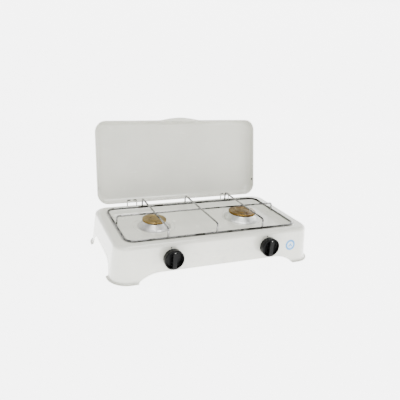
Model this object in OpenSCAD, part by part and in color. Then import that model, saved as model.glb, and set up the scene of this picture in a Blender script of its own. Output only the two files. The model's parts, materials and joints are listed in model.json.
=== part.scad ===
// Two-burner camping stove with a folding lid. Millimetres, +Z up, +X to the right seen from the
// front, front towards -Y. The origin is on the floor, at the middle of the casing's four feet.

/* [Casing] */
// Width of the deck over its rounded edge
deck_w = 500; // [480:1:520]
// Depth of the deck over its rounded edge
deck_d = 254; // [250:1:264]
// Height of the deck above the floor
deck_h = 86; // [84:1:92]
// Corner radius of the casing in plan
corner_r = 34; // [30:1:40]
// Radius of the deck's rounded edge
edge_r = 10; // [8:0.5:10]
// Thickness of the enamelled sheet
sheet_t = 1; // [0.8:0.1:1.2]
// How far the skirt leans outwards from deck to foot
draft = 6; // [3:0.5:7]
// Height of the arch in the front and rear skirt
front_arch_h = 20; // [14:1:24]
// Height of the arch in the side skirt
side_arch_h = 34; // [24:1:38]

/* [Well] */
// Width of the well that the pan support sits in
well_w = 450; // [446:1:452]
// Depth of the well
well_d = 212; // [208:1:214]
// How far the well's floor lies under the deck
well_drop = 11; // [10:1:13]
// How far the ledge for the pan support lies under the deck
ledge_drop = 1.5; // [1.5:0.5:3]

/* [Lid] */
// Width of the lid over its rim
lid_w = 472; // [468:1:480]
// Depth of the lid over its rim
lid_d = 220; // [218:1:222]
// Height of the lid from rim to top
lid_h = 28; // [28:1:34]
// Opening angle of the lid, where the hinge wires meet the ends of their slots
lid_angle = 102; // [96:1:104]
// Distance of each hinge from the middle
hinge_x = 141; // [130:1:160]

/* [Pan support] */
// Diameter of the frame wire
frame_wire_d = 5; // [4:0.5:5]
// Diameter of the three raised bars
bar_d = 4.4; // [4:0.2:5]
// Diameter of the cross wire
cross_wire_d = 4; // [3:0.5:4]
// Height of the bars above the frame wire, axis to axis
bar_rise = 23; // [20:0.5:24]

/* [Burners and taps] */
// Distance of each burner and tap from the middle
burner_x = 123; // [118:1:128]
// Diameter of the small cap on the left
small_cap_d = 60; // [54:1:64]
// Diameter of the large cap on the right
large_cap_d = 72; // [66:1:76]
// Height of the tap axis above the floor
tap_z = 54; // [50:1:56]
// Diameter of the knobs
knob_d = 46.5; // [38:0.5:48]
// How far a knob is pushed in before it turns
knob_push = 2.5; // [1.5:0.5:2.5]
// Distance of the gas inlet from the middle
inlet_x = 190; // [170:1:200]

/* [Hidden] */
$fn = 64;
eps = 0.01;
arc_steps = 8;              // straight steps in a profile's rounded stretch

// Casing
flare_r = 4;                // radius where the skirt turns out into the foot
foot_flat = 2;              // flat run of the foot's lip
foot_out = draft + flare_r + foot_flat;
skirt_run = deck_h - edge_r - flare_r - sheet_t;
front_foot_x = 200;         // where the front arch starts, from the middle
side_foot_y = 84;           // where the side arch starts, from the middle
front_arch_r = 77;
badge_r = 13.5;
badge_x = 192;
badge_z = 45.5;
floor_z = deck_h - well_drop;
ledge_z = deck_h - ledge_drop;
ledge_w = 9;
well_r = 26;
well_slope = 9;             // horizontal run of the slope from ledge to floor
tap_hole_r = 7;
tap_screw_x = 14;           // tap fixing screws, each side of the stem
bonnet_screw_z = 8.5;       // bonnet screws, above and below the stem
bonnet_t = 2;
barrel_r = 10;              // front half of a tap body
barrel_len = 18;
boss_r = 6.5;               // rear end of a tap body
boss_len = 4;
dish_r = 53;                // shallow dish pressed in the floor round each burner
dish_drop = 1.5;
neck_r = 14;                // burner cup's neck, which passes through the floor
burner_screw_r = 18.5;
rail_z = tap_z - 18;
slot_w = 4.4;               // slots for the hinge wires
wall_y = deck_d / 2;

// Lid and hinge
lid_gap = 0.3;
lid_edge_r = 16;
lid_corner_r = 28;
bead_r = 1.5;
bead_out = 2;
lip_half = 66;              // half length of the lift lip
lip_out = 8;
pivot_y = wall_y - 6;
pivot_z = deck_h - 6;
hinge_wire_r = 1.5;
hinge_half = 13;            // half distance between the two legs of a hinge wire
hinge_reach = 14;           // how far a leg rises from the pivot
wire_end = 9;               // inward bent end of a hinge wire, inside the lid
wire_bend = 3;
running = 0.05;             // radial clearance of a running fit
lid_wall_y = lid_d / 2 - bead_out;
buffer_y = 42;              // buffers, from the lid's rear wall
buffer_z = 5;

// Pan support
frame_z = ledge_z + frame_wire_d / 2;
frame_x = well_w / 2 - 5;
frame_y = well_d / 2 - 5;
frame_bend = well_r - 5;
bar_z = frame_z + bar_rise;
cross_z = bar_z - bar_d / 2 - cross_wire_d / 2 + 0.2;
cross_y = 5;
bar_bend = 7;
weld = 1;                   // how far welded wires sink into each other

// Burners
cup_flange_r = 22;
cup_flange_h = 3;
cup_wall = 3;
cup_rim_z = floor_z + 14;
cap_h = 5.8;
cap_spigot = 3;
drip_wall = 1;
socket_r = 12;
tube_r = 9;
tube_wall = 1;

// Taps, from the front along the stem
skirt_y = -(wall_y + draft * (deck_h - edge_r - tap_z) / skirt_run);
tap_front = skirt_y + 5.6;
knob_back = skirt_y - 5.5;
knob_depth = 17;
stem_grip = 10;             // how far the stem reaches into the knob
stem_r = 3;
collar_r = 5;
chamber_r = 7;
plug_front = tap_front + 16;
plug_len = 18;
plug_r1 = 6;
plug_r2 = 4.8;
tap_len = 38;
tap_rear = tap_front + tap_len;
rail_r = 4;
port = 12;                  // gas port, behind the plug's front
rail_y = plug_front + port;
inlet_wall = wall_y + draft * (deck_h - edge_r - rail_z) / skirt_run;
nipple_y = inlet_wall - sheet_t - 12.9;
nipple_r = 6.58;            // thread for the gas hose's union nut
thread_r = 7;               // thread for the nut that clamps the skirt

enamel = [0.93, 0.93, 0.89];
chrome = [0.78, 0.79, 0.80];
alu = [0.80, 0.80, 0.79];
brass = [0.76, 0.58, 0.25];
black = [0.08, 0.08, 0.08];

// ---------- shared shapes ----------

function arc(c, r, from, to) =
    [for (i = [0:arc_steps]) let (a = from + (to - from) * i / arc_steps) c + r * [cos(a), sin(a)]];

function unit(v) = v / norm(v);

// Any direction square to d
function across(d) = unit(abs(d.z) < 0.9 ? cross([0, 0, 1], d) : cross([1, 0, 0], d));

module rounded_rect(w, d, r) {
    square([w - 2 * r, d], center = true);
    square([w, d - 2 * r], center = true);
    for (sx = [-1, 1], sy = [-1, 1])
        translate([sx * (w / 2 - r), sy * (d / 2 - r)]) circle(r);
}

// Sweeps a profile (x outwards from the path, y up) round a rounded rectangle
module sweep_rect(w, d, r) {
    for (turn = [0, 1]) rotate(180 * turn) {
        translate([w / 2 - r, d / 2 - r]) rotate_extrude(angle = 90) translate([r, 0]) children();
        translate([r - w / 2, d / 2 - r]) rotate(90)
            rotate_extrude(angle = 90) translate([r, 0]) children();
        translate([w / 2, r - d / 2]) rotate([90, 0, 0]) rotate([0, 180, 0]) mirror([1, 0, 0])
            linear_extrude(d - 2 * r) children();
        translate([r - w / 2, d / 2]) rotate([90, 0, 90]) linear_extrude(w - 2 * r) children();
    }
}

// A rod from a to b
module rod(a, b, r) {
    d = unit(b - a);
    u = across(d);
    v = cross(d, u);
    multmatrix([
        [u.x, v.x, d.x, a.x],
        [u.y, v.y, d.y, a.y],
        [u.z, v.z, d.z, a.z],
        [0, 0, 0, 1]
    ]) cylinder(r = r, h = norm(b - a));
}

function turn_at(a, p, b) = acos(unit(p - a) * unit(b - p));
function setback(a, p, b, bend) = bend * tan(turn_at(a, p, b) / 2);

// The bend of a round wire at p, on its way from a to b
module elbow(a, p, b, r, bend) {
    along = unit(p - a);
    next = unit(b - p);
    start = p - along * setback(a, p, b, bend);
    out = -unit(next - (next * along) * along);
    up = cross(out, along);
    c = start - out * bend;
    multmatrix([
        [out.x, along.x, up.x, c.x],
        [out.y, along.y, up.y, c.y],
        [out.z, along.z, up.z, c.z],
        [0, 0, 0, 1]
    ]) rotate_extrude(angle = turn_at(a, p, b)) translate([bend, 0]) circle(r);
}

// A round wire through the points, with every corner bent to the same radius
module bent_wire(points, r, bend) {
    last = len(points) - 1;
    for (i = [0:last - 1]) {
        a = points[i];
        b = points[i + 1];
        cut_a = i == 0 ? 0 : setback(points[i - 1], a, b, bend);
        cut_b = i == last - 1 ? 0 : setback(a, b, points[i + 2], bend);
        rod(a + unit(b - a) * cut_a, b - unit(b - a) * cut_b, r);
    }
    for (i = [1:1:last - 1]) elbow(points[i - 1], points[i], points[i + 1], r, bend);
}

// Turns a shape that stands along +Z so that it lies along +Y
module along_y() rotate([-90, 0, 0]) children();

// Pan head screw along -Z, its head above z = 0
module pan_screw(r, length, head_r, head_h) {
    difference() {
        union() {
            translate([0, 0, -length]) cylinder(r = r, h = length + eps);
            cylinder(r1 = head_r, r2 = head_r * 0.8, h = head_h);
        }
        translate([0, 0, head_h]) {
            cube([head_r * 1.3, 0.8, head_h], center = true);
            cube([0.8, head_r * 1.3, head_h], center = true);
        }
    }
}

// ---------- casing ----------

module skirt_profile() {
    flare_z = flare_r + sheet_t;
    polygon(concat(
        arc([-edge_r, deck_h - edge_r], edge_r, 90, 0),
        arc([draft + flare_r, flare_z], flare_r, 180, 270),
        [[foot_out, sheet_t], [foot_out, 0]],
        arc([draft + flare_r, flare_z], flare_z, 270, 180),
        arc([-edge_r, deck_h - edge_r], edge_r - sheet_t, 0, 90)
    ));
}

// The wall of the well: deck, ledge for the pan support, slope and floor
module well_profile() {
    lip = 1.5;
    ledge_in = -ledge_w;
    floor_in = ledge_in - well_slope;
    polygon([
        [lip, deck_h], [0.6, deck_h - 0.2], [0, deck_h - 0.8], [-0.3, ledge_z + 0.3], [-1, ledge_z],
        [ledge_in, ledge_z], [ledge_in - 1.5, ledge_z - 0.8], [floor_in + 1.5, floor_z + 0.8],
        [floor_in, floor_z], [floor_in, floor_z - sheet_t], [floor_in + 1, floor_z - sheet_t],
        [floor_in + 2.2, floor_z - 0.4], [ledge_in - 1.1, ledge_z - 2],
        [ledge_in + 0.3, ledge_z - sheet_t - 0.2], [0, ledge_z - sheet_t], [0.8, ledge_z - 0.5],
        [1.2, deck_h - sheet_t], [lip, deck_h - sheet_t]
    ]);
}

// Outline of an arch in a skirt: flat top at height h, rounded shoulders of radius r
module arch_outline(half, h, r) {
    below = 5;
    run = sqrt(r * r - (r - h) * (r - h));
    lean = acos((r - h) / r);
    shoulder = [for (i = [0:arc_steps]) let (a = lean * i / arc_steps) r * [sin(a), cos(a)]];
    polygon(concat(
        [[-half, -below], [half, -below]],
        [for (i = [arc_steps:-1:0]) [half - run + shoulder[i].x, h - r + shoulder[i].y]],
        [for (p = shoulder) [run - half - p.x, h - r + p.y]]
    ));
}

module floor_openings() {
    for (s = [-1, 1]) translate([s * burner_x, 0]) circle(dish_r);
}

module burner_dish() {
    slope = 3;
    difference() {
        rotate_extrude() polygon([
            [neck_r + 1, floor_z - dish_drop], [dish_r - slope, floor_z - dish_drop], [dish_r, floor_z],
            [dish_r, floor_z - sheet_t], [dish_r - slope + 0.6, floor_z - dish_drop - sheet_t],
            [neck_r + 1, floor_z - dish_drop - sheet_t]
        ]);
        for (a = [0, 180]) rotate(a) translate([burner_screw_r, 0, 0]) cylinder(r = 2.2, h = deck_h);
    }
}

// Slot for one leg of a hinge wire, seen along X: the leg swings in it from upright to flat
module hinge_slot(x) {
    half = hinge_wire_r + 0.3;
    reach = 14;
    translate([x - slot_w / 2, pivot_y, pivot_z]) rotate([90, 0, 90]) linear_extrude(slot_w) {
        translate([-half, 0]) square([half + reach, reach]);
        rotate(90 - lid_angle) translate([0, -half]) square([reach, half + 4]);
    }
}

module casing() {
    deck_in = 2 * edge_r;
    color(enamel) difference() {
        union() {
            sweep_rect(deck_w, deck_d, corner_r) skirt_profile();
            translate([0, 0, deck_h - sheet_t]) linear_extrude(sheet_t) difference() {
                rounded_rect(deck_w - deck_in, deck_d - deck_in, corner_r - edge_r);
                rounded_rect(well_w + 3, well_d + 3, well_r + 1.5);
            }
            sweep_rect(well_w, well_d, well_r) well_profile();
            inset = 2 * (ledge_w + well_slope);
            translate([0, 0, floor_z - sheet_t]) linear_extrude(sheet_t) difference() {
                rounded_rect(well_w - inset, well_d - inset, well_r - inset / 2);
                floor_openings();
            }
            for (s = [-1, 1]) translate([s * burner_x, 0, 0]) burner_dish();
        }
        translate([0, deck_d, 0]) rotate([90, 0, 0]) linear_extrude(2 * deck_d)
            arch_outline(front_foot_x, front_arch_h, front_arch_r);
        translate([-deck_w, 0, 0]) rotate([90, 0, 90]) linear_extrude(2 * deck_w)
            arch_outline(side_foot_y, side_arch_h, side_arch_h);
        for (s = [-1, 1]) translate([s * burner_x, 0, 0]) {
            translate([0, -deck_d, tap_z]) along_y() {
                cylinder(r = tap_hole_r, h = deck_d - 60);
                for (t = [-1, 1]) translate([t * tap_screw_x, 0, 0]) cylinder(r = 2.2, h = deck_d - 60);
            }
        }
        translate([inlet_x, deck_d / 4, rail_z]) along_y() cylinder(r = thread_r + 0.3, h = deck_d);
        for (s = [-1, 1], t = [-1, 1]) hinge_slot(s * hinge_x + t * hinge_half);
    }
}

// Lays its children on the front skirt at height z, which leans by its draft
module on_front(x, z) {
    lean = atan(draft / skirt_run);
    y = -(wall_y + (deck_h - edge_r - z) * tan(lean));
    translate([x, y, z]) rotate([90 - lean, 0, 0]) children();
}

module index_marks() color(black) for (s = [-1, 1])
    on_front(s * (burner_x + 1), deck_h - edge_r - 1) cylinder(r = 1.6, h = 0.2);

module badge() color("skyblue") on_front(badge_x, badge_z) translate([0, 0, 0.02]) difference() {
    cylinder(r = badge_r, h = 0.3);
    translate([0, 0, 0.2]) difference() {
        cylinder(r = badge_r - 1.4, h = 1);
        translate([0, 0, -1]) cylinder(r = badge_r - 2.8, h = 3);
    }
}

module hinge_clip(s) color(chrome) translate([s * hinge_x - 8, 0, 0]) rotate([90, 0, 90])
    linear_extrude(16) difference() {
        union() {
            translate([pivot_y, pivot_z]) circle(3);
            polygon([
                [pivot_y - 13, deck_h - sheet_t], [pivot_y - 7, deck_h - sheet_t],
                [pivot_y - 0.8, pivot_z + 2.5], [pivot_y - 2.6, pivot_z + 0.5],
                [pivot_y - 7.2, deck_h - 2 * sheet_t], [pivot_y - 13, deck_h - 2 * sheet_t]
            ]);
        }
        translate([pivot_y, pivot_z]) circle(hinge_wire_r + running);
    }

module left_hinge_clip() hinge_clip(-1);
module right_hinge_clip() hinge_clip(1);

// ---------- burners ----------

// Cast cup: neck with a side socket for the mixing tube, flange, and bowl up to its rim
module burner_cup(s, cap_r) {
    bowl_r = cap_r - 4;
    base = floor_z - dish_drop;
    low = tap_z - socket_r - 2;
    rim_h = 4;
    bowl_h = cup_rim_z - base - cup_flange_h - rim_h;
    color(alu) translate([s * burner_x, 0, 0]) difference() {
        union() {
            translate([0, 0, low]) cylinder(r = neck_r, h = base - low + eps);
            translate([0, 0, base]) cylinder(r = cup_flange_r, h = cup_flange_h);
            translate([0, 0, base + cup_flange_h - eps])
                cylinder(r1 = cup_flange_r - 3, r2 = bowl_r, h = bowl_h);
            translate([0, 0, cup_rim_z - rim_h - 2 * eps]) cylinder(r = bowl_r, h = rim_h);
            translate([0, -24, tap_z]) along_y() cylinder(r = socket_r, h = 20);
        }
        translate([0, 0, low + cup_wall]) cylinder(r = neck_r - cup_wall, h = base - low);
        translate([0, 0, base + cup_flange_h])
            cylinder(r1 = neck_r - cup_wall, r2 = bowl_r - cup_wall, h = bowl_h);
        translate([0, 0, cup_rim_z - rim_h - 2 * eps]) cylinder(r = bowl_r - cup_wall, h = rim_h + 1);
        translate([0, -25, tap_z]) along_y() cylinder(r = tube_r, h = 14);
        translate([0, -25, tap_z]) along_y() cylinder(r = tube_r - tube_wall, h = 25);
        for (a = [0, 180]) rotate(a) translate([burner_screw_r, 0, base - eps])
            cylinder(r = 2, h = cup_flange_h - 0.8);
    }
}

module left_burner_cup() burner_cup(-1, small_cap_d / 2);
module right_burner_cup() burner_cup(1, large_cap_d / 2);

// Spun ring round the cup, from a flat foot on the dish up to just under the cap
module drip_ring(s, cap_r, foot_r) {
    base = floor_z - dish_drop;
    top = cup_rim_z - 1.5;
    top_r = cap_r - 1.5;
    color(alu) translate([s * burner_x, 0, 0]) rotate_extrude() polygon([
        [foot_r + 2, base], [foot_r + 2, base + drip_wall], [foot_r, base + drip_wall],
        [foot_r - 4, base + 4], [top_r + 1, top - 2], [top_r, top], [cap_r - 3.7, top],
        [cap_r - 3.7, top - drip_wall], [top_r - 0.6, top - drip_wall], [foot_r - 5, base + 3.6],
        [foot_r - 0.8, base]
    ]);
}

module left_drip_ring() drip_ring(-1, small_cap_d / 2, 40);
module right_drip_ring() drip_ring(1, large_cap_d / 2, 46);

// Lift-off flame spreader: shallow dome, spigot into the cup, flame slots round the lower edge
module cap(s, r, slots) {
    base = cup_rim_z;
    color(brass) translate([s * burner_x, 0, base]) difference() {
        union() {
            rotate_extrude() polygon(concat(
                [[0, -cap_spigot], [r - 8, -cap_spigot], [r - 8, 0.2], [r - 0.6, 0.2], [r, 0.8]],
                arc([r - 2, cap_h - 2.8], 2, 0, 80),
                [[r - 9, cap_h - 0.4], [0, cap_h]]
            ));
            rotate_extrude() translate([r * 0.52, cap_h - 0.5]) circle(0.9);
        }
        for (i = [0:slots - 1]) rotate(360 * (i + 0.5) / slots)
            translate([r - 9, -2.2, -1]) cube([12, 4.4, 3]);
        translate([0, 0, -cap_spigot - 1]) cylinder(r = r - 11, h = 5);
    }
}

module left_cap() cap(-1, small_cap_d / 2, 10);
module right_cap() cap(1, large_cap_d / 2, 12);

// Mixing tube with a bell mouth that takes in air round the injector
module mixing_tube(s) {
    mouth = tap_rear + 5;
    end = -12;
    color(chrome) translate([s * burner_x, mouth, tap_z]) along_y() rotate_extrude() polygon([
        [tube_r + 4, 0], [tube_r + 1, 6], [tube_r, 12], [tube_r, end - mouth],
        [tube_r - tube_wall, end - mouth], [tube_r - tube_wall, 12], [tube_r, 6], [tube_r + 3, 0]
    ]);
}

module left_mixing_tube() mixing_tube(-1);
module right_mixing_tube() mixing_tube(1);

module burner_screws() color(chrome) for (s = [-1, 1], a = [0, 180])
    translate([s * burner_x, 0, floor_z - dish_drop - sheet_t]) rotate(a)
        translate([burner_screw_r, 0, 0]) rotate([180, 0, 0]) pan_screw(2, sheet_t + 2, 3.6, 2.2);

// ---------- taps ----------

module injector(s) color(brass) translate([s * burner_x, tap_rear - 3.5, tap_z]) along_y() difference() {
    union() {
        cylinder(r = 3, h = 3.5 + eps);
        translate([0, 0, 3.5]) cylinder(r = 4.6, h = 4, $fn = 6);
        translate([0, 0, 7.5 - eps]) cylinder(r1 = 2.6, r2 = 1.8, h = 6);
    }
    translate([0, 0, -1]) cylinder(r = 1.5, h = 12);
    cylinder(r = 0.3, h = 20);
}

module left_injector() injector(-1);
module right_injector() injector(1);

module tap_body(s) color(brass) translate([s * burner_x, 0, tap_z]) difference() {
    union() {
        translate([0, tap_front, 0]) along_y() cylinder(r = barrel_r, h = barrel_len);
        translate([0, tap_front + barrel_len - eps, 0]) along_y()
            cylinder(r1 = barrel_r, r2 = 8.4, h = tap_len - barrel_len - boss_len);
        translate([0, tap_rear - boss_len - 2 * eps, 0]) along_y()
            cylinder(r = boss_r, h = boss_len + eps);
        for (t = [-1, 1]) translate([t * barrel_r, tap_front + 4, 0]) rotate([0, 45 + 45 * t, 0])
            translate([0, 0, -3]) cylinder(r = 4, h = 8);
        translate([0, rail_y, rail_z - tap_z]) cylinder(r = 7, h = 12);
    }
    translate([0, tap_front - 1, 0]) along_y() cylinder(r = chamber_r, h = 17);
    translate([0, plug_front - eps, 0]) along_y()
        cylinder(r1 = plug_r1 + running, r2 = plug_r2 + running, h = plug_len + eps);
    translate([0, plug_front + plug_len - eps, 0]) along_y() cylinder(r = 3, h = 20);
    translate([0, rail_y, rail_z - tap_z]) cylinder(r = 2, h = 16);
    translate([-10, rail_y, rail_z - tap_z]) rotate([0, 90, 0]) cylinder(r = rail_r, h = 20);
    for (t = [-1, 1]) {
        translate([t * tap_screw_x, tap_front - 1, 0]) along_y() cylinder(r = 2, h = 7);
        translate([0, tap_front - 1, t * bonnet_screw_z]) along_y() cylinder(r = 1, h = 6);
    }
}

module left_tap_body() tap_body(-1);
module right_tap_body() tap_body(1);

// Plate that closes the tap and guides the stem, with two spacers up to the skirt
module bonnet(s) color(chrome)
translate([s * burner_x, tap_front - bonnet_t, tap_z]) along_y() difference() {
    union() {
        linear_extrude(bonnet_t) {
            circle(barrel_r);
            square([2 * tap_screw_x, 9], center = true);
        }
        for (t = [-1, 1]) translate([t * tap_screw_x, 0, -2.1]) cylinder(r = 4.5, h = 4.1);
    }
    translate([0, 0, -1]) cylinder(r = stem_r + running, h = 4);
    for (t = [-1, 1]) {
        translate([t * tap_screw_x, 0, -3]) cylinder(r = 2, h = 6);
        translate([0, t * bonnet_screw_z, -1]) cylinder(r = 1, h = 4);
    }
}

module left_bonnet() bonnet(-1);
module right_bonnet() bonnet(1);

module bonnet_screws() color(chrome) for (s = [-1, 1], t = [-1, 1])
    translate([s * burner_x, tap_front - bonnet_t, tap_z + t * bonnet_screw_z])
        rotate([90, 0, 0]) pan_screw(1, 6, 1.8, 1.2);

module tap_screws() color(chrome) for (s = [-1, 1], t = [-1, 1])
    translate([s * burner_x + t * tap_screw_x, skirt_y - 0.3, tap_z]) rotate([90, 0, 0])
        pan_screw(2, 10.5, 3.4, 1.8);

module plug(s) color(brass) translate([s * burner_x, plug_front, tap_z]) along_y() difference() {
    cylinder(r1 = plug_r1, r2 = plug_r2, h = plug_len);
    translate([-2.1, -5, -1]) cube([4.2, 10, 9]);
    translate([0, 0, port - 2]) cylinder(r = 1.6, h = plug_len);
    translate([0, 0, port]) rotate([90, 0, 0]) cylinder(r = 1.2, h = 10);
}

module left_plug() plug(-1);
module right_plug() plug(1);

// Stem: flatted shank for the knob, collar behind the bonnet, tongue in the plug's slot
module stem(s) {
    front = knob_back - stem_grip;
    collar = tap_front + 0.2;
    tongue_end = plug_front + 5;
    color(brass) translate([s * burner_x, 0, tap_z]) {
        difference() {
            translate([0, front, 0]) along_y() cylinder(r = stem_r, h = collar - front + eps);
            translate([-5, front - 1, 1.8]) cube([10, knob_back - front + 2, 5]);
        }
        translate([0, collar, 0]) along_y() cylinder(r = collar_r, h = 2);
        translate([0, collar + 2 - eps, 0]) along_y()
            cylinder(r = 2.4, h = plug_front - collar - 5 + 2 * eps);
        translate([-2, plug_front - 3, -2.4]) cube([4, tongue_end - plug_front + 3, 4.8]);
    }
}

module left_stem() stem(-1);
module right_stem() stem(1);

// Helical wire from z = 0 up
module coil(r, wire_r, length, turns) {
    sides = 8;
    steps = 16 * turns;
    rise = length - 2 * wire_r;
    points = [for (i = [0:steps], j = [0:sides - 1])
        let (a = 360 * turns * i / steps, b = 360 * j / sides, q = r + wire_r * cos(b))
        [q * cos(a), q * sin(a), wire_r + rise * i / steps + wire_r * sin(b)]];
    skin = [for (i = [0:steps - 1], j = [0:sides - 1]) let (k = (j + 1) % sides)
        [i * sides + j, i * sides + k, (i + 1) * sides + k, (i + 1) * sides + j]];
    ends = [[for (j = [sides - 1:-1:0]) j], [for (j = [0:sides - 1]) steps * sides + j]];
    polyhedron(points, concat(skin, ends));
}

// Return spring between the stem's collar and the plug
module spring(s) {
    start = tap_front + 2.4;
    color(chrome) translate([s * burner_x, start, tap_z]) along_y()
        coil(4.2, 0.5, plug_front - start - 0.1, 5);
}

module left_spring() spring(-1);
module right_spring() spring(1);

// Round knob: a drum with a pocket each side of the grip blade; its dot points up when off
module knob(s) {
    r = knob_d / 2;
    wall = 2.6;
    pocket = 9;
    blade = 5;
    drum = knob_depth - 1.5;
    color(black) translate([s * burner_x, knob_back, tap_z]) rotate([90, 0, 0]) difference() {
        union() {
            rotate_extrude() polygon(concat(
                [[0, 0], [r - 1.6, 0], [r - 0.8, 0.8]],
                arc([r - 2.5, drum - 2.5], 2.5, 0, 90),
                [[0, drum]]
            ));
            intersection() {
                rotate_extrude() polygon(concat(
                    [[0, 1], [r - 4, 1]],
                    arc([r - 7, knob_depth - 3], 3, 0, 90),
                    [[0, knob_depth]]
                ));
                translate([-blade, -r, 0]) cube([2 * blade, 2 * r, knob_depth]);
            }
        }
        difference() {
            rotate_extrude() polygon([
                [0, drum - pocket], [r - wall - 2.5, drum - pocket], [r - wall - 1, drum - pocket + 1.5],
                [r - wall, drum + 1], [0, drum + 1]
            ]);
            translate([-blade, -r, 0]) cube([2 * blade, 2 * r, knob_depth]);
        }
        difference() {
            translate([0, 0, -1]) cylinder(r = stem_r + 0.02, h = stem_grip + 1);
            translate([-5, 1.82, -2]) cube([10, 5, stem_grip + 3]);
        }
        difference() {
            translate([0, 0, -1]) cylinder(r = r - 2.6, h = 4.5);
            translate([0, 0, -2]) cylinder(r = 6, h = 6);
        }
        translate([0, r - 5.6, knob_depth - 1.2]) cylinder(r = 1.1, h = 2);
    }
}

module left_knob() knob(-1);
module right_knob() knob(1);

// ---------- gas supply ----------

module gas_rail() color(chrome) difference() {
    bent_wire([
        [-burner_x - 10, rail_y, rail_z],
        [inlet_x, rail_y, rail_z],
        [inlet_x, nipple_y + 1, rail_z]
    ], rail_r, 20);
    translate([-burner_x - 6, rail_y, rail_z]) rotate([0, 90, 0]) cylinder(r = 3, h = 2 * burner_x + 12);
    for (s = [-1, 1]) translate([s * burner_x, rail_y, rail_z]) cylinder(r = 2, h = 10);
}

// Threaded union for the gas hose, through the rear skirt
module inlet_nipple() color(brass) translate([inlet_x, nipple_y, rail_z]) along_y() difference() {
    union() {
        cylinder(r = 6, h = 4 + eps);
        translate([0, 0, 4]) cylinder(r = 9.8, h = 8, $fn = 6);
        translate([0, 0, 12 - eps]) cylinder(r = thread_r, h = 7.5);
        translate([0, 0, 19.5 - 2 * eps]) cylinder(r = nipple_r, h = 16);
        translate([0, 0, 35.5 - 3 * eps]) cylinder(r1 = 5.6, r2 = 4.6, h = 2);
    }
    translate([0, 0, -1]) cylinder(r = 2.5, h = 50);
    translate([0, 0, -1]) cylinder(r = rail_r, h = 2);
}

module inlet_nut() color(brass) translate([inlet_x, inlet_wall + 0.9, rail_z]) along_y() difference() {
    cylinder(r = 9.8, h = 4, $fn = 6);
    translate([0, 0, -1]) cylinder(r = thread_r, h = 6);
}

// ---------- lid, drawn closed and then swung open about the hinge ----------

module swung_open() translate([0, pivot_y, pivot_z]) rotate([-lid_angle, 0, 0])
    translate([0, -pivot_y, -pivot_z]) children();

module lid_profile() {
    polygon(concat(
        [[-sheet_t, 0], [0, 0]],
        arc([-lid_edge_r, lid_h - lid_edge_r], lid_edge_r, 0, 90),
        arc([-lid_edge_r, lid_h - lid_edge_r], lid_edge_r - sheet_t, 90, 0)
    ));
    translate([bead_out - bead_r, bead_r]) circle(bead_r);
}

// Lip at the middle of the lid's front edge, by which it is lifted
module lift_lip() {
    steps = 24;
    start = -(lid_d / 2 - bead_r);
    linear_extrude(1.2) polygon(concat(
        [[lip_half, start], [lip_half, start - bead_r / 2]],
        [for (i = [0:steps]) let (t = 1 - 2 * i / steps)
            [lip_half * t, start - bead_r / 2 - lip_out * pow(cos(90 * t), 1.3)]],
        [[-lip_half, start]]
    ));
}

module lid() color(enamel) swung_open() translate([0, 0, deck_h + lid_gap]) {
    w = lid_w - 2 * bead_out;
    d = lid_d - 2 * bead_out;
    difference() {
        union() {
            sweep_rect(w, d, lid_corner_r) lid_profile();
            translate([0, 0, lid_h - sheet_t]) linear_extrude(sheet_t)
                rounded_rect(w - 2 * lid_edge_r, d - 2 * lid_edge_r, lid_corner_r - lid_edge_r);
            lift_lip();
        }
        for (s = [-1, 1]) {
            translate([s * w / 2, d / 2 - buffer_y, buffer_z]) rotate([0, 90, 0])
                cylinder(r = 1.5, h = 6, center = true);
            for (t = [-1, 1])
                translate([
                    s * hinge_x + t * hinge_half, d / 2 - 5,
                    pivot_z + hinge_reach - deck_h - lid_gap
                ]) along_y() cylinder(r = hinge_wire_r + 0.1, h = 10);
        }
    }
}

// Wire bent to a U: its middle turns in the clip, its legs rise through slots and end in the lid
module hinge_wire(s) color(chrome) swung_open() {
    x = s * hinge_x;
    top = pivot_z + hinge_reach;
    end_y = lid_wall_y - sheet_t - wire_bend - 0.1;
    bent_wire([
        [x - hinge_half + wire_end, end_y, top],
        [x - hinge_half, end_y, top],
        [x - hinge_half, pivot_y, top],
        [x - hinge_half, pivot_y, pivot_z],
        [x + hinge_half, pivot_y, pivot_z],
        [x + hinge_half, pivot_y, top],
        [x + hinge_half, end_y, top],
        [x + hinge_half - wire_end, end_y, top]
    ], hinge_wire_r, wire_bend);
}

module left_hinge_wire() hinge_wire(-1);
module right_hinge_wire() hinge_wire(1);

module lid_buffers() color(black) swung_open() for (s = [-1, 1])
    translate([s * (lid_w / 2 - bead_out), lid_wall_y - buffer_y, deck_h + lid_gap + buffer_z])
        rotate([0, -90 * s, 0]) {
            cylinder(r = 1.5, h = sheet_t + eps);
            translate([0, 0, sheet_t]) cylinder(r1 = 3, r2 = 2, h = 2);
        }

// ---------- pan support ----------

module support_frame() color(chrome) translate([0, 0, frame_z])
    sweep_rect(2 * frame_x, 2 * frame_y, frame_bend) circle(frame_wire_d / 2);

module bar(x) color(chrome) {
    foot = frame_z + frame_wire_d / 2 - weld;
    bent_wire([
        [x, -frame_y, foot],
        [x, -frame_y, bar_z],
        [x, frame_y, bar_z],
        [x, frame_y, foot]
    ], bar_d / 2, bar_bend);
}

module left_bar() bar(-burner_x);
module centre_bar() bar(0);
module right_bar() bar(burner_x);

module cross_wire() color(chrome) {
    x = frame_x - frame_wire_d / 2 - cross_wire_d / 2 + 0.3;
    foot = frame_z - 1;
    bent_wire([[-x, cross_y, foot], [-x, cross_y, cross_z], [x, cross_y, cross_z], [x, cross_y, foot]],
        cross_wire_d / 2, 6);
}

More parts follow.
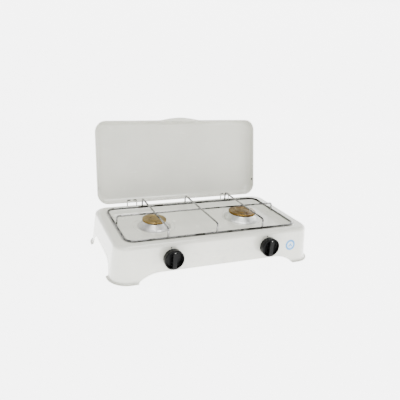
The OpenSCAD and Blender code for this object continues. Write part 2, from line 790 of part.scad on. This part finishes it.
casing();
index_marks();
badge();
left_hinge_clip();
right_hinge_clip();
left_burner_cup();
right_burner_cup();
left_drip_ring();
right_drip_ring();
left_mixing_tube();
right_mixing_tube();
left_injector();
right_injector();
left_tap_body();
right_tap_body();
left_bonnet();
right_bonnet();
bonnet_screws();
tap_screws();
burner_screws();
gas_rail();
inlet_nipple();
inlet_nut();
lid();
left_hinge_wire();
right_hinge_wire();
lid_buffers();
support_frame();
cross_wire();
left_bar();
centre_bar();
right_bar();
left_cap();
right_cap();
left_plug();
right_plug();
left_stem();
right_stem();
left_spring();
right_spring();
left_knob();
right_knob();
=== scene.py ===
"""Two-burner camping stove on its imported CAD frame: materials, painted knob dots, studio and camera."""

import json
import math

import bmesh
import bpy
from mathutils import Matrix, Vector


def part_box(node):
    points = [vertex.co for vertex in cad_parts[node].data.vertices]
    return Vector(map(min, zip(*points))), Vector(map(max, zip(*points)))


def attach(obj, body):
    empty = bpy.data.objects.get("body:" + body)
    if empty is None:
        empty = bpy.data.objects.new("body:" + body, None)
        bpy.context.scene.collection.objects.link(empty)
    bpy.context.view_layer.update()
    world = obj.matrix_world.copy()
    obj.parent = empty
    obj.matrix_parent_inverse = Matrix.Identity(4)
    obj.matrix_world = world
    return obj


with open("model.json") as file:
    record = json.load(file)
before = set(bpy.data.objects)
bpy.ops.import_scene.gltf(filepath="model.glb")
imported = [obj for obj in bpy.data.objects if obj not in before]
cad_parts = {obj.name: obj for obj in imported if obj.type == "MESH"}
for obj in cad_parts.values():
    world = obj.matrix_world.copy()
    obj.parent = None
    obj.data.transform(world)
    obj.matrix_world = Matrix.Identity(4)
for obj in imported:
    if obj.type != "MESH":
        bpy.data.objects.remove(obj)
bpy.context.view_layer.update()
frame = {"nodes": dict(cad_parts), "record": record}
nodes = frame["nodes"]


def centre(node):
    """Middle of a node's box."""
    lo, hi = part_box(node)
    return (lo + hi) / 2


# ---------------------------------------------------------------- node helpers


class Nodes:
    """A material's node tree, with short calls for the nodes that repeat."""

    def __init__(self, name):
        self.mat = bpy.data.materials.new(name)
        self.mat.use_nodes = True
        self.tree = self.mat.node_tree
        self.shader = self.tree.nodes["Principled BSDF"]
        self.object = self.add("ShaderNodeTexCoord").outputs["Object"]

    def add(self, kind, **props):
        """A new node of this kind, with these properties."""
        node = self.tree.nodes.new(kind)
        for key, value in props.items():
            setattr(node, key, value)
        return node

    def link(self, source, target):
        self.tree.links.new(source, target)

    def put(self, socket, value):
        """A link for a socket, a value for anything else."""
        if isinstance(value, bpy.types.NodeSocket):
            self.link(value, socket)
        else:
            socket.default_value = value

    def set(self, **values):
        """Sets the shader's inputs, each named with _ for a space."""
        for key, value in values.items():
            self.put(self.shader.inputs[key.replace("_", " ")], value)

    def noise(self, scale, detail=4.0, rough=0.55, vector=None):
        """Soft noise around 0.5, scale features to the metre."""
        node = self.add("ShaderNodeTexNoise")
        node.inputs["Scale"].default_value = scale
        node.inputs["Detail"].default_value = detail
        node.inputs["Roughness"].default_value = rough
        self.link(vector or self.object, node.inputs["Vector"])
        return node.outputs["Fac"]

    def voronoi(self, scale):
        """Distance to the nearest of a set of scattered points."""
        node = self.add("ShaderNodeTexVoronoi")
        node.inputs["Scale"].default_value = scale
        self.link(self.object, node.inputs["Vector"])
        return node.outputs["Distance"]

    def ramp(self, value, low, high, a=0.0, b=1.0):
        """Goes smoothly from a to b as value goes from low to high."""
        node = self.add("ShaderNodeMapRange")
        node.interpolation_type = "SMOOTHSTEP"
        self.link(value, node.inputs["Value"])
        for key, bound in (("From Min", low), ("From Max", high), ("To Min", a), ("To Max", b)):
            node.inputs[key].default_value = bound
        return node.outputs["Result"]

    def math(self, op, a, b=0.0):
        node = self.add("ShaderNodeMath", operation=op)
        self.put(node.inputs[0], a)
        self.put(node.inputs[1], b)
        return node.outputs[0]

    def product(self, *factors):
        """Factors multiplied together."""
        total = factors[0]
        for factor in factors[1:]:
            total = self.math("MULTIPLY", total, factor)
        return total

    def split(self, vector):
        """The X, Y and Z of a vector."""
        node = self.add("ShaderNodeSeparateXYZ")
        self.link(vector, node.inputs[0])
        return node.outputs["X"], node.outputs["Y"], node.outputs["Z"]

    def vector(self, op, a, b):
        node = self.add("ShaderNodeVectorMath", operation=op)
        self.put(node.inputs[0], a)
        self.put(node.inputs[1], b)
        return node.outputs["Value" if op == "LENGTH" else "Vector"]

    def mix(self, fac, a, b):
        """Colour a where fac is 0 and b where it is 1."""
        node = self.add("ShaderNodeMix", data_type="RGBA")
        self.put(node.inputs["Factor"], fac)
        for socket, value in ((node.inputs["A"], a), (node.inputs["B"], b)):
            self.put(socket, (*value, 1.0) if isinstance(value, tuple) else value)
        return node.outputs["Result"]

    def bump(self, height, distance, strength, normal=None):
        """A normal bent by a height of this many metres."""
        node = self.add("ShaderNodeBump")
        node.inputs["Distance"].default_value = distance
        node.inputs["Strength"].default_value = strength
        self.link(height, node.inputs["Height"])
        if normal is not None:
            self.link(normal, node.inputs["Normal"])
        return node.outputs["Normal"]

    def edges(self, low, high):
        """1 on the mesh's convex edges, where its pointiness is over high."""
        point = self.add("ShaderNodeNewGeometry").outputs["Pointiness"]
        return self.ramp(point, low, high)

    def from_axis(self, middle, axis):
        """Distance from an axis through middle, along one of X, Y, Z."""
        away = self.vector("SUBTRACT", self.object, tuple(middle))
        keep = tuple(0.0 if letter == axis else 1.0 for letter in "XYZ")
        return self.vector("LENGTH", self.vector("MULTIPLY", away, keep), (0.0, 0.0, 0.0))

    def stretched(self, scale):
        """Object coordinates, with a larger scale where features get shorter."""
        return self.vector("MULTIPLY", self.object, scale)

    def rings(self, radius):
        """A vector that changes with the radius only, so that noise on it makes rings."""
        node = self.add("ShaderNodeCombineXYZ")
        self.link(radius, node.inputs["X"])
        return node.outputs["Vector"]


# ---------------------------------------------------------------- materials


def darker(colour, share):
    """A colour at this share of its brightness."""
    return tuple(share * c for c in colour)


def enamel():
    """Glossy off-white vitreous enamel: slight orange peel, faint cloudiness, few specks, worn edges."""
    n = Nodes("enamel")
    cloud = n.ramp(n.noise(9.0, 5.0), 0.35, 0.7)
    base = n.mix(cloud, (0.60, 0.60, 0.53), (0.56, 0.562, 0.495))
    specks = n.math("LESS_THAN", n.voronoi(60.0), 0.045)
    rare = n.math("GREATER_THAN", n.noise(23.0, 1.0), 0.63)
    base = n.mix(n.product(specks, rare, 0.5), base, (0.30, 0.27, 0.22))
    worn = n.product(n.edges(0.53, 0.66), n.ramp(n.noise(70.0, 6.0), 0.45, 0.7), 0.45)
    base = n.mix(worn, base, (0.45, 0.44, 0.42))
    smear = n.noise(30.0, 6.0, 0.7, n.stretched((1.0, 1.0, 3.0)))
    peel = n.bump(n.noise(260.0, 2.0), 0.00006, 0.5)
    n.set(
        Base_Color=base,
        Roughness=n.ramp(smear, 0.3, 0.75, 0.16, 0.3),
        Coat_Weight=0.6,
        Coat_Roughness=0.05,
        Normal=n.bump(n.noise(14.0, 2.0), 0.0006, 0.35, peel),
    )
    return n.mat


def wire(name, bright, dull, spread):
    """Chromed wire: fine grain, smudges and dull patches. More of it is dull with a larger spread."""
    n = Nodes(name)
    patch = n.ramp(n.noise(26.0, 6.0, 0.65), 0.62 - spread, 0.74 - spread)
    grain = n.noise(1400.0, 3.0, 0.6)
    n.set(
        Base_Color=n.mix(patch, bright, dull),
        Metallic=1.0,
        Roughness=n.ramp(n.noise(90.0, 5.0), 0.3, 0.7, 0.14, 0.34),
        Normal=n.bump(grain, 0.00002, 0.4),
    )
    return n.mat


def bare_metal(name, tint, rough):
    """Plated or cast metal: fine grain and dull spangles."""
    n = Nodes(name)
    spangle = n.ramp(n.voronoi(170.0), 0.1, 0.7)
    n.set(
        Base_Color=n.mix(spangle, tint, darker(tint, 0.78)),
        Metallic=1.0,
        Roughness=n.ramp(n.noise(120.0, 6.0), 0.3, 0.7, rough, rough + 0.18),
        Normal=n.bump(n.noise(900.0, 4.0), 0.00003, 0.5),
    )
    return n.mat


def turned(name, node, fresh, stained, rough, spread):
    """Metal turned about the upright axis of a node: fine rings, heat stains, dull and bright patches."""
    n = Nodes(name)
    radius = n.from_axis(centre(node), "Z")
    groove = n.math("SINE", n.product(radius, 9000.0))
    band = n.noise(420.0, 2.0, 0.5, n.rings(radius))
    stain = n.ramp(n.noise(46.0, 7.0, 0.68), 0.60 - spread, 0.78 - spread * 0.5)
    tone = n.ramp(n.noise(17.0, 4.0), 0.35, 0.72)
    base = n.mix(tone, fresh, darker(fresh, 0.86))
    base = n.mix(n.product(stain, 0.85), base, stained)
    base = n.mix(n.product(n.ramp(band, 0.45, 0.7), 0.18), base, darker(fresh, 0.6))
    n.set(
        Base_Color=base,
        Metallic=1.0,
        Roughness=n.ramp(n.noise(85.0, 6.0), 0.3, 0.72, rough, rough + 0.22),
        Normal=n.bump(groove, 0.00001, 0.35, n.bump(n.noise(300.0, 4.0), 0.00008, 0.3)),
    )
    return n.mat


def gloss_black():
    """Glossy black phenolic: faint scratches and rubbed edges."""
    n = Nodes("black_plastic")
    scratch = n.noise(240.0, 8.0, 0.75, n.stretched((1.0, 0.2, 1.0)))
    base = n.mix(n.ramp(scratch, 0.5, 0.8), (0.003, 0.003, 0.003), (0.008, 0.008, 0.0075))
    rubbed = n.product(n.edges(0.52, 0.6), 0.35)
    n.set(
        Base_Color=n.mix(rubbed, base, (0.03, 0.03, 0.028)),
        Roughness=n.ramp(n.noise(60.0, 6.0), 0.3, 0.75, 0.22, 0.4),
        Specular_IOR_Level=0.07,
        Normal=n.bump(n.noise(160.0, 3.0), 0.00005, 0.3),
    )
    return n.mat


def paint(name, colour, rough):
    """A dab of paint: slightly uneven and chalky."""
    n = Nodes(name)
    blot = n.ramp(n.noise(700.0, 5.0), 0.35, 0.7)
    n.set(
        Base_Color=n.mix(blot, colour, darker(colour, 0.8)),
        Roughness=rough,
        Normal=n.bump(n.noise(1500.0, 3.0), 0.00004, 0.5),
    )
    return n.mat


def rubber():
    """Dull dark rubber, a little dusty."""
    n = Nodes("buffer_rubber")
    n.set(
        Base_Color=n.mix(n.ramp(n.noise(200.0), 0.4, 0.7), (0.015, 0.015, 0.015), (0.05, 0.048, 0.045)),
        Roughness=0.75,
        Normal=n.bump(n.noise(1200.0, 4.0), 0.00005, 0.6),
    )
    return n.mat


def sticker():
    """Round film badge: a blue ring round a pale field with a plain flame."""
    n = Nodes("sticker")
    middle = centre("badge")
    x, _, z = n.split(n.vector("SUBTRACT", n.object, tuple(middle)))
    pale, glow = (0.50, 0.58, 0.62), (0.74, 0.78, 0.80)
    blue, ring_blue = (0.04, 0.22, 0.50), (0.05, 0.24, 0.52)
    ring_r, flame_r, core_r, soft = 0.0084, 0.0052, 0.0022, 0.0003
    # The flame is a round drop drawn out to a tip above, with a small pale diamond low in it
    drawn = n.product(x, n.ramp(z, -0.002, 0.0065, 1.0, 5.0))
    squares = [n.math("POWER", length, 2.0) for length in (drawn, n.math("ADD", z, 0.001))]
    drop = n.math("POWER", n.math("ADD", *squares), 0.5)
    diamond = n.math("ADD", n.math("ABSOLUTE", x), n.math("ABSOLUTE", n.math("ADD", z, 0.0035)))
    face = n.mix(n.ramp(drop, flame_r, flame_r + soft, 1.0, 0.0), pale, blue)
    face = n.mix(n.ramp(diamond, core_r, core_r + soft, 1.0, 0.0), face, glow)
    ring = n.ramp(n.from_axis(middle, "Y"), ring_r, ring_r + soft)
    n.set(
        Base_Color=n.mix(ring, face, ring_blue),
        Roughness=n.ramp(n.noise(300.0, 5.0), 0.3, 0.7, 0.22, 0.4),
        Normal=n.bump(n.noise(500.0, 3.0), 0.00003, 0.4),
    )
    return n.mat


# One material for each slot of the record
materials = {
    "enamel": enamel(),
    "chromed_wire": wire("chromed_wire", (0.27, 0.27, 0.265), (0.03, 0.028, 0.025), 0.13),
    "steel": bare_metal("steel", (0.58, 0.58, 0.56), 0.28),
    "brass": bare_metal("brass", (0.60, 0.44, 0.20), 0.26),
    "cast_aluminium": bare_metal("cast_aluminium", (0.52, 0.52, 0.51), 0.42),
    "black_plastic": gloss_black(),
    "buffer_rubber": rubber(),
    "dark_print": paint("dark_print", (0.03, 0.03, 0.03), 0.35),
    "sticker": sticker(),
}

# Nodes that look different from the rest of their slot. For turned metal: fresh and stained colour,
# roughness, and how far the stains spread
turned_metal = {
    "left_cap": ("left_cap_brass", (0.26, 0.18, 0.062), (0.10, 0.04, 0.010), 0.26, 0.13),
    "right_cap": ("right_cap_brass", (0.18, 0.11, 0.025), (0.075, 0.026, 0.006), 0.24, 0.18),
    "left_drip_ring": ("left_ring_aluminium", (0.62, 0.62, 0.60), (0.36, 0.31, 0.24), 0.3, 0.0),
    "right_drip_ring": ("right_ring_aluminium", (0.66, 0.67, 0.64), (0.38, 0.33, 0.26), 0.3, 0.0),
}
special = {node: turned(name, node, *finish) for node, (name, *finish) in turned_metal.items()}
special["support_frame"] = wire("frame_wire", (0.16, 0.16, 0.155), (0.022, 0.02, 0.018), 0.16)

smooth_under = math.radians(32)
record_slots = {part["node"]: part["material_slot"] for part in frame["record"]["subparts"]}
for name, obj in nodes.items():
    mat = special.get(name) or materials[record_slots[name]]
    if obj.data.materials:
        for slot in obj.material_slots:
            slot.material = mat
    else:
        obj.data.materials.append(mat)
    obj.data.shade_smooth()
    obj.data.set_sharp_from_angle(angle=smooth_under)


# ---------------------------------------------------------------- painted dots on the knobs


def around(count):
    """Angles of this many points on a circle."""
    return [2 * math.pi * i / count for i in range(count)]


def lens_mesh(name, radius, rise, depth):
    """A thin dab of paint facing -Y: highest in the middle, and sunk by depth at its rim."""
    rings, sides, fullness = 6, 40, 1.6
    bm = bmesh.new()
    top = bm.verts.new((0, -rise, 0))
    last = None
    for i in range(1, rings + 1):
        share = i / rings
        r = radius * share
        y = -rise * math.cos(math.pi / 2 * share**fullness)
        ring = [bm.verts.new((r * math.cos(a), y, r * math.sin(a))) for a in around(sides)]
        for j in range(sides):
            k = (j + 1) % sides
            inner = (top,) if last is None else (last[j], last[k])
            bm.faces.new((*inner, ring[k], ring[j]))
        last = ring
    base = [bm.verts.new((v.co.x, depth, v.co.z)) for v in last]
    for j in range(sides):
        k = (j + 1) % sides
        bm.faces.new((last[j], last[k], base[k], base[j]))
    bm.faces.new(base)
    bmesh.ops.recalc_face_normals(bm, faces=bm.faces)
    mesh = bpy.data.meshes.new(name)
    bm.to_mesh(mesh)
    bm.free()
    mesh.shade_smooth()
    mesh.set_sharp_from_angle(angle=math.radians(50))
    return mesh


# Each dab fills a round recess in the grip blade, this far in from the knob's top and front
dot_r, dot_rise, dot_depth = 0.00108, 0.0004, 0.0004
dot_from_top, dot_from_front = 0.0056, 0.0012

white_paint = paint("white_paint", (0.82, 0.82, 0.78), 0.4)
for side in ("left", "right"):
    lo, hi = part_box(side + "_knob")
    radius = (hi.x - lo.x) / 2
    middle = (lo + hi) / 2
    dab = lens_mesh(side + "_knob_dot", dot_r, dot_rise, dot_depth)
    dot = bpy.data.objects.new(side + "_knob_dot", dab)
    bpy.context.collection.objects.link(dot)
    dot.location = (middle.x, lo.y + dot_from_front, middle.z + radius - dot_from_top)
    dot.data.materials.append(white_paint)
    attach(dot, side + "_knob")


# ---------------------------------------------------------------- studio


def glowing_white():
    """Pale floor that gives off light, so that it comes out white. Its glow fades behind the camera,
    at the far left and high up, so that the enamel keeps its shading."""
    n = Nodes("floor")
    x, y, z = n.split(n.object)
    n.set(
        Base_Color=n.mix(n.noise(3.0), (0.42, 0.42, 0.42), (0.38, 0.38, 0.38)),
        Roughness=0.9,
        Emission_Color=(1.0, 1.0, 1.0, 1.0),
        Emission_Strength=n.product(
            n.ramp(y, -1.8, -0.6, 1.2, 5.2),
            n.ramp(x, -1.3, -0.5, 0.3, 1.0),
            n.ramp(z, 0.9, 1.5, 1.0, 0.1),
        ),
    )
    return n.mat


def backdrop():
    """A round floor that curves up into a wall all round."""
    flat, bend, top, sides, steps = 2.4, 1.2, 5.0, 96, 12
    below = 0.0002
    profile = [(0.02, 0.0), (1.2, 0.0), (flat, 0.0)]
    profile += [(flat + bend * math.sin(a), bend - bend * math.cos(a))
                for a in (math.pi / 2 * i / steps for i in range(1, steps + 1))]
    profile += [(flat + bend, top)]
    bm = bmesh.new()
    rows = [[bm.verts.new((r * math.cos(a), r * math.sin(a), z - below)) for r, z in profile]
            for a in around(sides)]
    for j in range(sides):
        here, there = rows[j], rows[(j + 1) % sides]
        for i in range(len(profile) - 1):
            bm.faces.new((here[i], here[i + 1], there[i + 1], there[i]))
    bm.faces.new([row[0] for row in rows])
    mesh = bpy.data.meshes.new("floor")
    bm.to_mesh(mesh)
    bm.free()
    mesh.shade_smooth()
    obj = bpy.data.objects.new("floor", mesh)
    bpy.context.collection.objects.link(obj)
    obj.data.materials.append(glowing_white())


def area(name, place, size, watts):
    """A soft light at this place, aimed at the middle of the object."""
    target = Vector((0.0, 0.0, 0.1))
    data = bpy.data.lights.new(name, "AREA")
    data.shape = "RECTANGLE"
    data.size, data.size_y = size
    data.energy = watts
    obj = bpy.data.objects.new(name, data)
    bpy.context.collection.objects.link(obj)
    obj.location = place
    obj.rotation_euler = (target - Vector(place)).to_track_quat("-Z", "Y").to_euler()


backdrop()
area("key", (-0.9, -1.9, 1.9), (1.2, 0.9), 56.0)
area("fill", (1.9, -1.3, 1.0), (1.0, 1.0), 8.0)
area("top", (0.3, 0.2, 2.2), (1.2, 0.8), 42.0)
world = bpy.data.worlds.new("studio")
bpy.context.scene.world = world
world.use_nodes = True
sky = world.node_tree.nodes["Background"]
sky.inputs["Color"].default_value = (1.0, 1.0, 1.0, 1.0)
sky.inputs["Strength"].default_value = 0.55

# Camera in front, to the left and above, looking down, with a slight tilt and an off-centre picture
place = Vector((-0.4518, -0.9366, 0.4992))
yaw, pitch, roll = 0.38436, 0.31505, 0.05963
forward = Vector((math.sin(yaw) * math.cos(pitch), math.cos(yaw) * math.cos(pitch), -math.sin(pitch)))
level = Vector((math.cos(yaw), -math.sin(yaw), 0.0))
upward = level.cross(forward)
right = level * math.cos(roll) + upward * math.sin(roll)
up = upward * math.cos(roll) - level * math.sin(roll)
camera = bpy.data.objects.new("camera", bpy.data.cameras.new("camera"))
bpy.context.collection.objects.link(camera)
turn = Matrix((right, up, -forward)).transposed().to_4x4()
camera.matrix_world = Matrix.Translation(place) @ turn
camera.data.sensor_width = 36.0
camera.data.lens = 39.15
camera.data.shift_x = 0.0625
camera.data.shift_y = -0.0308
bpy.context.scene.camera = camera
